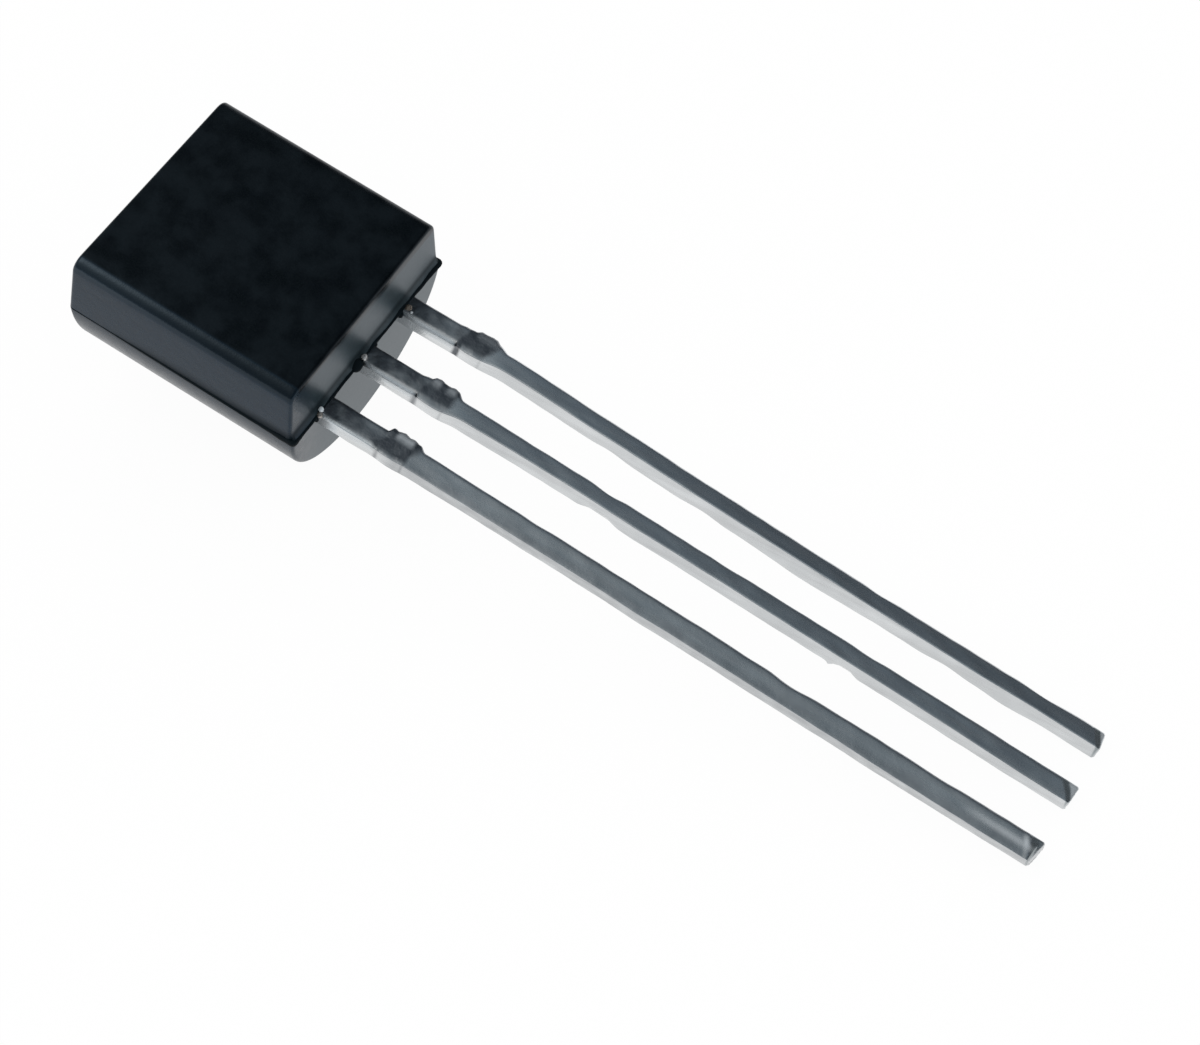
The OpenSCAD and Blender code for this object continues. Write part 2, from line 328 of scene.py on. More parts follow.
def half_section():
    """Half of the case's cross-section, from the middle of the flat to the crown of the back.

    Each entry holds Y, Z and the outward normal's Y and Z.
    """
    arc_angle = math.pi / 2 - SIDE_DRAFT
    arc_y = FLAT_HALF - EDGE_R * math.tan(arc_angle / 2)
    section = [(arc_y * k / FLAT_STEPS, 0.0, 0.0, 1.0) for k in range(FLAT_STEPS)]
    for k in range(ARC_STEPS + 1):
        angle = arc_angle * k / ARC_STEPS
        section.append((arc_y + EDGE_R * math.sin(angle), EDGE_R * (math.cos(angle) - 1),
                        math.sin(angle), math.cos(angle)))
    side_y, side_z = section[-1][:2]
    seam_y, seam_z = HALF_W - SEAM_H * math.tan(SIDE_DRAFT), SEAM_H - PARTING
    for k in range(1, SIDE_STEPS):
        share = k / SIDE_STEPS
        section.append((side_y + (seam_y - side_y) * share, side_z + (seam_z - side_z) * share,
                        math.cos(SIDE_DRAFT), math.sin(SIDE_DRAFT)))
    for rise in (SEAM_H, SEAM_H / 2, SEAM_LOW):
        section.append((HALF_W - rise * math.tan(SIDE_DRAFT), rise - PARTING,
                        math.cos(SIDE_DRAFT), math.sin(SIDE_DRAFT)))
    section.append((HALF_W, -PARTING, 1.0, 0.0))
    start = math.asin((-PARTING - BACK_AXIS) / BACK_R)
    for k in range(1, BACK_STEPS + 1):
        angle = start - (start + math.pi / 2) * k / BACK_STEPS
        section.append((BACK_R * math.cos(angle), BACK_AXIS + BACK_R * math.sin(angle),
                        math.cos(angle), math.sin(angle)))
    return section


def end_inset(z):
    """How far the draft sets an end face back from its place at the parting plane."""
    if z > -PARTING:
        return (z + PARTING) * math.tan(END_DRAFT)
    return (-z - PARTING) * math.tan(BACK_DRAFT)


def end_r(nz):
    """Radius of an end edge where the case's side has the normal's Z nz."""
    return SIDE_END_R + (END_R - SIDE_END_R) * nz ** 4


def case_ring(shell, section, place_x, back, inset, end):
    """One ring round the case.

    back and inset are how far it is moved along the case and drawn in, in end edge radii, and
    place_x() turns a Z and the distance back into X. end is 1 at the end faces. The material
    reads flat, arc, flash and end off the points. flat reaches down the far
    rounded edge as painted shade, arc marks the near long edge for a painted
    highlight, and flash marks the parting line and the painted shade just above it.
    """
    half = [(y - ny * inset * end_r(nz), z - nz * inset * end_r(nz), nz) for y, z, ny, nz in section]
    half[-1] = (0.0, half[-1][1], half[-1][2])
    loop = half + [(-y, z, nz) for y, z, nz in reversed(half[1:-1])]
    points = [(place_x(z, back * end_r(nz)), y, z) for y, z, nz in loop]
    # On the far side the flat's dark colour and low gloss reach down the rounded edge: painted shade that
    # hides its reflection.
    flat = [ease(nz, 0.1, 0.4) if y > 0 else max(nz, 0.0) ** 40 for y, z, nz in loop]
    # Near long edge, on the near side only: a raised specular level paints its highlight.
    arc = [ease(nz, 0.15, 0.6) * (1 - ease(nz, 0.965, 0.998)) * (1 - end) * (y < 0) for y, z, nz in loop]
    # Painted shade: the flash's dark, dull look just above the parting plane.
    seam_shade = [seam_shade_at(x, z + PARTING) for x, y, z in points]
    return shell.add(points, flat=flat, arc=arc, flash=seam_shade, end=[end] * len(loop))


def seam_shade_at(x, rise):
    """How much of the flash's dark, dull look is painted on the case just above the parting plane, from 0 to
    1: painted shade under the flash.
    """
    if not -0.001 < rise < SEAM_H + 0.001:
        return 0.0
    if rise < 0.01:
        return 0.95 * ease(x, 0.2, 2.0)
    return (0.35 * ease(x, 0.6, 2.5) + 0.35 * ease(x, 3.0, 4.4)) * (rise < SEAM_H / 2 + 0.001)


def case_cap(shell, ring, last):
    """Closes one end of the case. last is the crown's number in the ring."""
    top = ring[-FLAT_STEPS:] + ring[:FLAT_STEPS + 1]
    shell.faces.append(tuple(top) + (ring[FLAT_STEPS + 1], ring[-FLAT_STEPS - 1]))
    for k in range(FLAT_STEPS + 1, last - 1):
        shell.faces.append((ring[k], ring[k + 1], ring[-k - 1], ring[-k]))
    shell.faces.append((ring[last - 1], ring[last], ring[last + 1]))


def add_case(shell):
    """The moulding, as rings from the closed end to the lead end."""
    section = half_section()
    profile = [(0.0, END_REACH, 1.0)]
    for k in range(END_STEPS + 1):
        angle = math.pi / 2 * k / END_STEPS
        profile.append((1 - math.cos(angle), 1 - math.sin(angle), 1 - k / END_STEPS))
    profile.append((END_REACH, 0.0, 0.0))
    closed_end = [case_ring(shell, section, from_closed_end, back, inset, end)
                  for back, inset, end in profile]
    body = []
    for k in range(1, BODY_STEPS):
        place_x = partial(along_body, share=k / BODY_STEPS)
        body.append(case_ring(shell, section, place_x, END_REACH, 0.0, 0.0))
    lead_end = [case_ring(shell, section, from_lead_end, back, inset, end)
                for back, inset, end in reversed(profile)]
    rings = closed_end + body + lead_end
    for ring_a, ring_b in zip(rings, rings[1:]):
        shell.bridge(ring_a, ring_b)
    for ring in (rings[0], rings[-1]):
        case_cap(shell, ring, len(section) - 1)


def from_closed_end(z, back):
    """X near the closed end."""
    return end_inset(z) + back


def from_lead_end(z, back):
    """X near the lead end, where the flat's half of the case stands back by a small ledge."""
    ledge = LEDGE * min(-z / PARTING, 1.0) if z > -PARTING + 0.001 else 0.0
    return CASE_LEN - end_inset(z) - ledge - back


def along_body(z, back, share):
    """X at a share of the way between the two ends' last rings."""
    start = from_closed_end(z, back)
    return start + (from_lead_end(z, back) - start) * share


def flash_path():
    """Points round the parting plane, with their outward direction: X, Y, direction X and Y."""
    corners = [(CASE_LEN - END_R, HALF_W - END_R, 0), (END_R, HALF_W - END_R, 90),
               (END_R, END_R - HALF_W, 180), (CASE_LEN - END_R, END_R - HALF_W, 270)]
    path = []
    for number, (x, y, first) in enumerate(corners):
        for k in range(FLASH_CORNER_STEPS + 1):
            angle = math.radians(first + 90 * k / FLASH_CORNER_STEPS)
            path.append((x + END_R * math.cos(angle), y + END_R * math.sin(angle),
                         math.cos(angle), math.sin(angle)))
        next_x, next_y = corners[(number + 1) % 4][:2]
        run = math.hypot(next_x - x, next_y - y)
        steps = round(run / FLASH_STEP)
        from_x, from_y, out_x, out_y = path[-1]
        for k in range(1, steps):
            share = k / steps
            path.append((from_x + (next_x - x) * share, from_y + (next_y - y) * share, out_x, out_y))
    return path


def lead_y(number):
    """Y of a lead's middle, by its place in the row: -1, 0 or 1."""
    return ROW_OFFSET + number * LEAD_PITCH


def near_lead(y):
    """1 beside a lead's root, falling to nothing between the leads."""
    return max(hump(abs(y - lead_y(number)), ROOT_W / 2, 0.24) for number in (-1, 0, 1))


def add_flash(shell):
    """The thin irregular fin of resin that the two mould halves leave round the parting plane.

    It is hardly there at the closed end and grows towards the lead end.
    """
    rings = []
    for x, y, out_x, out_y in flash_path():
        uneven = rough_at(x, y, 0, 3.5, 3.1) + 0.4 * rough_at(x, y, 0, 13.0, 8.7)
        along = ease(x, 0.3, CASE_LEN)
        lead_end = ease(x, CASE_LEN - 0.06, CASE_LEN)
        far_corner = hump(x, CASE_LEN, 0.12) * ease(y, HALF_W - 0.9, HALF_W)
        near_corner = hump(x, CASE_LEN, 0.9) * ease(-y, HALF_W - 0.5, HALF_W)
        root = lead_end * near_lead(y)
        reach = 0.005 + 0.02 * along + 0.004 * lead_end + 0.03 * far_corner
        near_side = ease(-y, HALF_W - 0.1, HALF_W) * ease(x, 0.2, 2.4)
        half_t = 0.018 + 0.016 * along + 0.036 * far_corner + 0.04 * near_corner + 0.012 * near_side
        reach *= 1 + 0.3 * uneven
        half_t = (half_t + 0.022 * root) * (1 + 0.25 * uneven)
        drop = 0.03 * lead_end * (rough_at(x, y, 0, 2.2, 5.5) - 0.2) - 0.1 * half_t - 0.02 * far_corner
        ledge = LEDGE * lead_end
        profile = [(-FLASH_ROOT - ledge, half_t), (-0.9 * ledge, half_t),
                   (0.55 * reach, 0.6 * half_t), (reach, 0.1 * half_t),
                   (0.8 * reach, -0.55 * half_t), (0.0, -half_t), (-FLASH_ROOT, -half_t)]
        points = [(x + out_x * out, y + out_y * out, -PARTING + drop + up) for out, up in profile]
        rings.append(shell.add(points, flash=[1.0] * len(points)))
    for ring_a, ring_b in zip(rings, rings[1:] + rings[:1]):
        shell.bridge(ring_a, ring_b)


def add_web(shell, y, z, reach, half_y, half_z, seed):
    """A lump of resin that has bled out of the mould beside a lead."""
    rings = []
    for share in WEB_SHARES:
        size = math.sqrt(1 - 0.96 * max(share, 0.0) ** 2)
        x = CASE_LEN - WEB_START + max(share, -WEB_SUNK / reach) * reach
        ring = []
        for k in range(WEB_POINTS):
            angle = 2 * math.pi * k / WEB_POINTS
            across, up = math.cos(angle), math.sin(angle)
            bump = size * (1 + 0.2 * rough_at(x, across, up, 1.1, seed))
            ring.append((x, y + half_y * bump * across, z + half_z * bump * up))
        rings.append(shell.add(ring, flash=[1.0] * len(ring)))
    for ring_a, ring_b in zip(rings, rings[1:]):
        shell.bridge(ring_a, ring_b)
    shell.faces.append(tuple(rings[0]))
    shell.faces.append(tuple(rings[-1]))


def add_webs(shell):
    """A lump on the near side of each root, and one on the far side of the middle one."""
    near = -ROOT_W / 2 - 0.02
    add_web(shell, lead_y(-1) + near, -PARTING - 0.1, 0.05, 0.04, 0.1, 2.1)
    add_web(shell, lead_y(0) + near - 0.06, -PARTING - 0.01, 0.1, 0.13, 0.11, 5.3)
    add_web(shell, lead_y(1) + near, -PARTING - 0.08, 0.08, 0.06, 0.1, 7.7)
    add_web(shell, lead_y(0) - near, -PARTING - 0.05, 0.05, 0.05, 0.08, 9.1)


# --- Leads ----------------------------------------------------------------------------

def lead_loop(half_w, half_t, radii):
    """Points of a lead's cross-section, as Y and Z from its middle, counter-clockwise.

    radii are those of the far upper, near upper, near lower and far lower edges.
    """
    corners = [(1, 1), (-1, 1), (-1, -1), (1, -1)]
    centres = [(sy * (half_w - radius), sz * (half_t - radius))
               for (sy, sz), radius in zip(corners, radii)]
    loop = []
    for number, ((y, z), radius) in enumerate(zip(centres, radii)):
        for k in range(CORNER_STEPS):
            angle = math.pi / 2 * (number + k / (CORNER_STEPS - 1))
            loop.append((y + radius * math.cos(angle), z + radius * math.sin(angle)))
        following = (number + 1) % 4
        next_angle = math.pi / 2 * following
        end_y = centres[following][0] + radii[following] * math.cos(next_angle)
        end_z = centres[following][1] + radii[following] * math.sin(next_angle)
        steps = (FACE_POINTS if number % 2 == 0 else SIDE_POINTS) + 1
        from_y, from_z = loop[-1]
        for k in range(1, steps):
            share = k / steps
            loop.append((from_y + (end_y - from_y) * share, from_z + (end_z - from_z) * share))
    return loop


def lead_stations(lead):
    """Every X at which a ring is drawn, with the lead's width there."""
    start, wide, wide_end = lead["start"], lead["wide"], lead["start"] + lead["wide_len"]
    lock_end = LOCK_START + LOCK_LEN
    lock_w = ROOT_W + 2 * LOCK_OUT
    chamfer_x, chamfer_w = WIDE_CHAMFER
    inside = [(start, wide - chamfer_w), (start + chamfer_x, wide), (wide_end - WIDTH_STEP, wide),
              (wide_end, ROOT_W), (LOCK_START - WIDTH_STEP, ROOT_W), (LOCK_START, lock_w),
              (lock_end, lock_w), (lock_end + WIDTH_STEP, ROOT_W)]
    tip = CASE_LEN + lead["end"]
    x = CASE_LEN - 0.1
    outside = []
    while x < tip - TIP_LEN:
        outside.append(x)
        near_dam = CASE_LEN + DAM_START - 0.15 < x < CASE_LEN + DAM_START + DAM_LEN + 0.25
        x += DAM_STEP if near_dam else RUN_STEP
    outside += [tip - TIP_LEN + TIP_STEP * k for k in range(round(TIP_LEN / TIP_STEP))]
    outside += [tip - LAST_STEP, tip]
    return inside + [(x, track(x - CASE_LEN, lead["width"])) for x in outside]


def groove_at(lead, x, down):
    """How deep a point lies in the grooves where the dam bar was sheared off. down is 0 to 1."""
    leaning = x - CASE_LEN + 0.055 * down
    return max(depth * hump(leaning, along, half) for along, depth, half in lead["ticks"])


def lead_relief(lead, x, y, z, half_w):
    """A point of a lead's cross-section with its stubs, grooves, nicks and unevenness."""
    seed, along = lead["seed"], x - CASE_LEN
    outside = ease(along, 0, 0.2) * (1 - ease(along, lead["end"] - 0.5, lead["end"] - 0.1))
    stub = track(along, lead["bulge"])
    height, side = z / (LEAD_T / 2), y / half_w
    groove = groove_at(lead, x, (1 - height) / 2)
    top, low = ease(height, 0.3, 1.0), ease(-height, 0.0, 0.9)
    far, near = ease(side, 0.3, 0.95), ease(-side, 0.5, 0.95)
    torn = 1 + 0.2 * rough_at(x, y, z, 7, seed) + 0.08 * rough_at(x, y, z, 19, seed + 5)
    # The stub on the far side: a lip with a bevelled rim
    y += FAR_STUB * stub * torn * far * (1 - 0.2 * top - 0.2 * low)
    z += 0.01 * lip_at(lead, along) * hump(side, 0.75, 0.4) * top
    # The near side: hardly more than a burr, between two fine grooves
    at_dam = hump(along, DAM_MID, 0.42)
    y -= NEAR_BURR * at_dam * torn * near
    y += 0.025 * groove * near * (1 - 0.5 * top)
    y -= 0.02 * groove * near * low
    z += 0.008 * at_dam * rough_at(x, y, 0, 6, seed + 9) * top
    # The whole lead: hardly straight, with dips where something has pressed on it
    wave = rough_at(x, 0, 0, 0.55, seed + 2)
    fine = rough_at(x, 2 * y, 2 * z, 2.6, seed + 4)
    y += outside * (far - near) * (0.009 * wave + 0.006 * fine)
    z += outside * math.copysign(1, z) * ease(abs(height), 0.3, 1) * (0.004 * wave + 0.005 * fine)
    for place_along, edge, depth, half in lead["nicks"]:
        dip = depth * hump(along, place_along, half)
        y -= dip * {1: far, -1: -near, 0: -0.35 * near * low}[edge]
        z += dip * near * low * (edge == 0)
    return y, z


def lip_at(lead, along):
    """How far a raised lip stands along the far rim of the dam bar stub, from 0 to 1."""
    at = along - DAM_START
    return lead["lip"] * max(ease(at, low - 0.08, low + 0.02) * (1 - ease(at, high - 0.02, high + 0.08))
                             for low, high in lead["lips"])


def lead_matt_and_highlight(lead, along, side, upper):
    """How dull and light the tin is painted, from 0 to 1: on the rim of the stub, partly dull torn tin
    and partly a painted highlight, and as painted highlights on the near upper edge before the dam
    bar, on the near side at the root and on the top of the last stretch.

    side runs from -1 at the near side to 1 at the far side, and upper is true above the middle.
    """
    rim = 0.5 * lip_at(lead, along) * hump(side, 0.7, 0.35)
    before_dam = 1 - ease(along, DAM_START - 0.1, DAM_START)
    edge = lead["edge_sheen"] * ease(along, 0.05, 0.4) * before_dam * hump(side, -0.85, 0.3)
    end = lead["end_sheen"] * ease(along, 12.3, 13.2) * hump(side, -0.05, 0.5)
    flank = lead["flank_sheen"] * hump(along, 0.27, 0.24) * (side < -0.9)
    return max(rim * upper, edge * upper, end * upper, flank)


def tip_relief(lead, x, y, z, half_w):
    """How the shears have left the end: turned over beyond a slanting line, with a leaning cut.

    Returns the point's X, Y and Z, how much painted shade darkens the turned-over stretch there,
    from 0 to 1, and how dull and light the tin is there, which paints the light on its bevel and ridge.
    """
    back = CASE_LEN + lead["end"] - x
    across = (half_w - y) / (2 * half_w)
    down = (LEAD_T / 2 - z) / LEAD_T
    upper = 1 - ease(down, 0.1, 0.5)
    near = ease(across, 0.8, 1.0)
    reach, slant = lead["rollover"]
    line = reach * (1 - slant * across - 0.3 * down * near)
    beyond = line - back
    z += 0.01 * lead["ridge"] * hump(beyond, -0.03, 0.08) * upper
    z -= lead["fall"] * ease(beyond, 0.0, lead["slope"]) * upper * ease(across, 0.0, 0.3)
    y += 0.02 * ease(beyond, 0.0, 0.06) * near * (1 - upper)
    # Painted shade in the dent the shears left, kept further on by shade.
    rolled = ease(beyond, -0.02, 0.03) * (1 - (1 - lead["shade"]) * ease(beyond, 0.1, 0.17))
    # The bevel beyond the dark stretch and the ridge before it are painted dull and light: painted
    # highlights.
    matt = 0.4 * (1 - lead["shade"]) * ease(beyond, 0.1, 0.15) * upper
    matt = max(matt, 0.5 * lead["ridge"] * hump(beyond, -0.07, 0.09) * hump(across, 0.45, 0.4) * upper)
    rolled *= max(upper, near * (1 - ease(down, 0.85, 1.0)))
    rim = 1 - ease(back, 0.0, 0.035)
    drawn_in = 1 - 0.07 * rim ** 2
    y *= drawn_in
    z *= drawn_in
    x -= lead["lean"] * (1 - down) * (1 - ease(back, 0.0, 0.14))
    x += lead["skew"] * (1 - across) * (1 - ease(back, 0.0, 0.4))
    return x, y, z, rolled * (1 - rim), max(matt, 0.12 * rolled)


def lead_wear_and_shade(lead, x, y, z, half_w):
    """How scarred and dark the surface is, from 0 to 1: scars round the dam bar, and painted shade:
    the root's upper face darkened, most next to the case as its painted shadow, the grooves painted
    dark, and each run darkened by its run_shade, least along the middle of its top.
    """
    along, side = x - CASE_LEN, y / half_w
    patch = rough_at(x, y, z, 5, lead["seed"])
    ragged = along - 0.05 * side + 0.08 * patch
    around = ease(ragged, DAM_START - 0.12, DAM_START + 0.06)
    around *= 1 - ease(ragged, DAM_START + DAM_LEN - 0.02, DAM_START + DAM_LEN + 0.14)
    top = ease(z, -0.02, LEAD_T / 2)
    lip = hump(side, 0.7, 0.4) * lip_at(lead, along)
    stub = around * (1 + 0.15 * patch) * (1 - lip) * (1 - 0.8 * ease(-side, lead["stub_light"], 1.0))
    # The root's upper face is darkened, more close to the case: a painted shadow of the case.
    root = 1 - 0.3 * ease(along, 0.3, 0.8) + 0.45 * patch
    root *= (1 - ease(-side, lead["root_light"], 0.85)) * (1 - ease(along, DAM_START, DAM_START + 0.2))
    # The grooves left by the dam bar are painted dark: painted shade in them.
    groove = min(groove_at(lead, x, 0.5 - z / LEAD_T), 1.0) * ease(-y, -0.02, 0.12)
    # Each run is darkened by its run_shade, least along the middle of its top: painted shade.
    run_shade = lead["run_shade"] * ease(along, DAM_START, DAM_START + 0.4) * (0.25 + 0.1 * patch)
    run_shade *= 1 - 0.6 * top * hump(side, 0.1, 0.9)
    return min(max(max(stub, root) * top, 1.2 * groove, run_shade, 0.0), 1.0)


def edge_radii(along, outside, lead):
    """Radii of a lead's four long edges, in the order of lead_loop()."""
    run_r = lead["run_edge_r"]
    before_dam = 1 - ease(along, DAM_START - 0.02, DAM_START + 0.03)
    near_r = run_r + (lead["root_edge_r"] - run_r) * before_dam
    return [INSIDE_EDGE_R + (radius - INSIDE_EDGE_R) * outside
            for radius in (FAR_EDGE_R, near_r, LOW_EDGE_R, LOW_EDGE_R)]


def lead_middle(lead, x, width, outside):
    """Y and Z of a lead's middle at x, and its twist there."""
    seed, tip = lead["seed"], CASE_LEN + lead["end"]
    along, beyond = x - CASE_LEN, max(x - TURN_X, 0.0)
    waver = ease(beyond, 0, 2) * (1 - ease(x, tip - 2, tip))
    mid_y = lead_y(lead["place"]) + track(along, lead["line"]) * outside
    mid_y += beyond * math.tan(math.radians(lead["turn"])) + 0.006 * waver * rough_at(x, 0, 0, 0.3, seed)
    twist = math.radians(track(along, lead["twist"]))
    lift = width / 2 * abs(math.sin(twist)) * beyond / (tip - TURN_X) + CLEARANCE * ease(x, TURN_X, tip)
    mid_z = LEAD_MID - beyond * math.tan(DROOP) + lift + 0.01 * waver * rough_at(x, 0, 0, 0.3, seed + 7)
    return mid_y, mid_z, twist


def lead_ring(shell, lead, x, width):
    """One ring of a lead, with what the material reads off its points: wear (scars and
    painted shade), rolled (painted shade at the tip) and matt (dull, light
    tin, mostly painted highlights).
    """
    along, tip = x - CASE_LEN, CASE_LEN + lead["end"]
    outside = ease(x, CASE_LEN - 0.3, CASE_LEN - 0.05)
    mid_y, mid_z, twist = lead_middle(lead, x, width, outside)
    points, wear, rolled, matt = [], [], [], []
    for y, z in lead_loop(width / 2, LEAD_T / 2, edge_radii(along, outside, lead)):
        at, shade, dull = x, 0.0, 0.0
        wear.append(lead_wear_and_shade(lead, x, y, z, width / 2) * outside)
        # Dull, light tin that paints highlights.
        dull_and_highlight = lead_matt_and_highlight(lead, along, 2 * y / width, z > 0) * outside
        if along > -0.1:
            if z > 0:
                z += CROWN * (1 - (2 * y / width) ** 2)
            y, z = lead_relief(lead, x, y, z, width / 2)
        if x > tip - 0.5:
            at, y, z, shade, dull = tip_relief(lead, x, y, z, width / 2)
        rolled.append(shade)
        matt.append(max(dull_and_highlight, dull))
        points.append((at, mid_y + y * math.cos(twist) - z * math.sin(twist),
                       mid_z + y * math.sin(twist) + z * math.cos(twist)))
    return shell.add(points, wear=wear, rolled=rolled, matt=matt)


def add_lead(shell, lead):
    """A lead, from its post inside the case to its cut end, with its beads of tin."""
    rings = [lead_ring(shell, lead, x, width) for x, width in lead_stations(lead)]
    for ring_a, ring_b in zip(rings, rings[1:]):
        shell.bridge(ring_a, ring_b)
    shell.faces.append(tuple(rings[0]))
    add_cut_face(shell, rings[-1], lead["seed"])
    add_beads(shell, lead)


def add_beads(shell, lead):
    """Drops of tin on the near upper edge where the lead leaves the case."""
    for along, across, up, radius, stain, matt in lead["beads"]:
        centre = Vector((CASE_LEN + along, lead_y(lead["place"]) + across, LEAD_MID + LEAD_T / 2 + up))
        rings = []
        for k in range(1, BEAD_STEPS):
            height, out = math.cos(math.pi * k / BEAD_STEPS), math.sin(math.pi * k / BEAD_STEPS)
            ring = []
            for turn in range(BEAD_POINTS):
                angle = 2 * math.pi * turn / BEAD_POINTS
                point = Vector((out * math.cos(angle), out * math.sin(angle), height))
                uneven = 1 + 0.15 * rough_at(*point, 1.3, lead["seed"])
                ring.append(tuple(centre + point * radius * uneven))
            # A bead's matt makes it dull and light: a painted glint.
            rings.append(shell.add(ring, stain=[stain] * BEAD_POINTS, matt=[matt] * BEAD_POINTS))
        for ring_a, ring_b in zip(rings, rings[1:]):
            shell.bridge(ring_a, ring_b)
        shell.faces.append(tuple(rings[0]))
        shell.faces.append(tuple(rings[-1]))


def add_cut_face(shell, rim, seed):
    """The sheared end of a lead: smooth where the blade went in and torn below that."""
    corners = [Vector(shell.points[number]) for number in rim]
    centre = sum(corners, Vector()) / len(corners)
    outer = rim
    for share in CUT_RINGS:
        points = []
        for corner in corners:
            point = centre + (corner - centre) * share
            across, up = (point - centre).y, (point - centre).z
            torn = 0.004 + 0.012 * ease(-up, -0.06, 0.06)
            point.x += CUT_BULGE + torn * rough_at(across, up, 0, 16, seed)
            points.append(tuple(point))
        inner = shell.add(points, wear=[CUT_WEAR] * len(points))
        shell.bridge(outer, inner)
        outer = inner
    hub = shell.add([tuple(centre + Vector((CUT_BULGE, 0, 0)))], wear=[CUT_WEAR])[0]
    for k, number in enumerate(outer):
        shell.faces.append((number, outer[(k + 1) % len(outer)], hub))


# --- Materials ------------------------------------------------------------------------

class Nodes:
    """Makes and joins the nodes of one material or world."""

    def __init__(self, tree):
        self.tree = tree

    def node(self, kind, **settings):
        made = self.tree.nodes.new(kind)
        for name, value in settings.items():
            setattr(made, name, value)
        return made

    def join(self, output, socket):
        self.tree.links.new(output, socket)

    def feed(self, value, socket):
        """Sets a socket to a number or a colour, or joins an output to it."""
        if isinstance(value, (int, float)):
            socket.default_value = value
        elif isinstance(value, tuple):
            socket.default_value = (*value, 1.0)
        else:
            self.join(value, socket)

    def math(self, operation, a, b):
        made = self.node("ShaderNodeMath", operation=operation)
        self.feed(a, made.inputs[0])
        self.feed(b, made.inputs[1])
        return made.outputs[0]

    def remap(self, value, low, high, to_low, to_high):
        """value taken smoothly from low..high to to_low..to_high, and held there."""
        made = self.node("ShaderNodeMapRange", interpolation_type="SMOOTHSTEP")
        ranges = {"From Min": low, "From Max": high, "To Min": to_low, "To Max": to_high}
        for socket, number in ranges.items():
            made.inputs[socket].default_value = number
        self.join(value, made.inputs["Value"])
        return made.outputs["Result"]

    def blend(self, factor, a, b):
        """Colour a where factor is 0 and b where it is 1."""
        made = self.node("ShaderNodeMix", data_type="RGBA")
        self.join(factor, made.inputs["Factor"])
        self.feed(a, made.inputs[6])
        self.feed(b, made.inputs[7])
        return made.outputs[2]

    def mix(self, factor, a, b):
        """Number a where factor is 0 and b where it is 1."""
        made = self.node("ShaderNodeMix", data_type="FLOAT")
        self.join(factor, made.inputs["Factor"])
        self.feed(a, made.inputs[2])
        self.feed(b, made.inputs[3])
        return made.outputs[0]


class Look(Nodes):
    """A material made of nodes round one Principled shader."""

    def __init__(self, name, **constants):
        self.material = bpy.data.materials.new(name)
        self.material.use_nodes = True
        super().__init__(self.material.node_tree)
        self.shader = self.tree.nodes["Principled BSDF"]
        for socket, value in constants.items():
            self.shader.inputs[socket.replace("_", " ")].default_value = value
        self.where = self.node("ShaderNodeVectorMath", operation="SCALE")
        self.where.inputs["Scale"].default_value = 1 / MM
        self.join(self.node("ShaderNodeTexCoord").outputs["Object"], self.where.inputs[0])

    def noise(self, scale, detail=3.0, stretch=None):
        """A noise value from 0 to 1. scale is per millimetre, and stretch squeezes each axis."""
        texture = self.node("ShaderNodeTexNoise")
        texture.inputs["Scale"].default_value = scale
        texture.inputs["Detail"].default_value = detail
        source = self.where.outputs[0]
        if stretch:
            squeeze = self.node("ShaderNodeVectorMath", operation="MULTIPLY")
            squeeze.inputs[1].default_value = stretch
            self.join(source, squeeze.inputs[0])
            source = squeeze.outputs[0]
        self.join(source, texture.inputs["Vector"])
        return texture.outputs["Fac"]

    def axes(self):
        """X, Y and Z of the place, in millimetres."""
        parts = self.node("ShaderNodeSeparateXYZ")
        self.join(self.where.outputs[0], parts.inputs[0])
        return parts.outputs

    def attribute(self, name):
        return self.node("ShaderNodeAttribute", attribute_name=name).outputs["Fac"]

    def bump(self, *layers):
        """Stacks bumps, each a height output and its depth in millimetres."""
        below = None
        for height, depth in layers:
            made = self.node("ShaderNodeBump")
            made.inputs["Strength"].default_value = 1.0
            made.inputs["Distance"].default_value = depth * MM
            self.join(height, made.inputs["Height"])
            if below:
                self.join(below, made.inputs["Normal"])
            below = made.outputs["Normal"]
        self.join(below, self.shader.inputs["Normal"])

    def colour(self, output):
        self.join(output, self.shader.inputs["Base Color"])

    def roughness(self, output):
        self.join(output, self.shader.inputs["Roughness"])


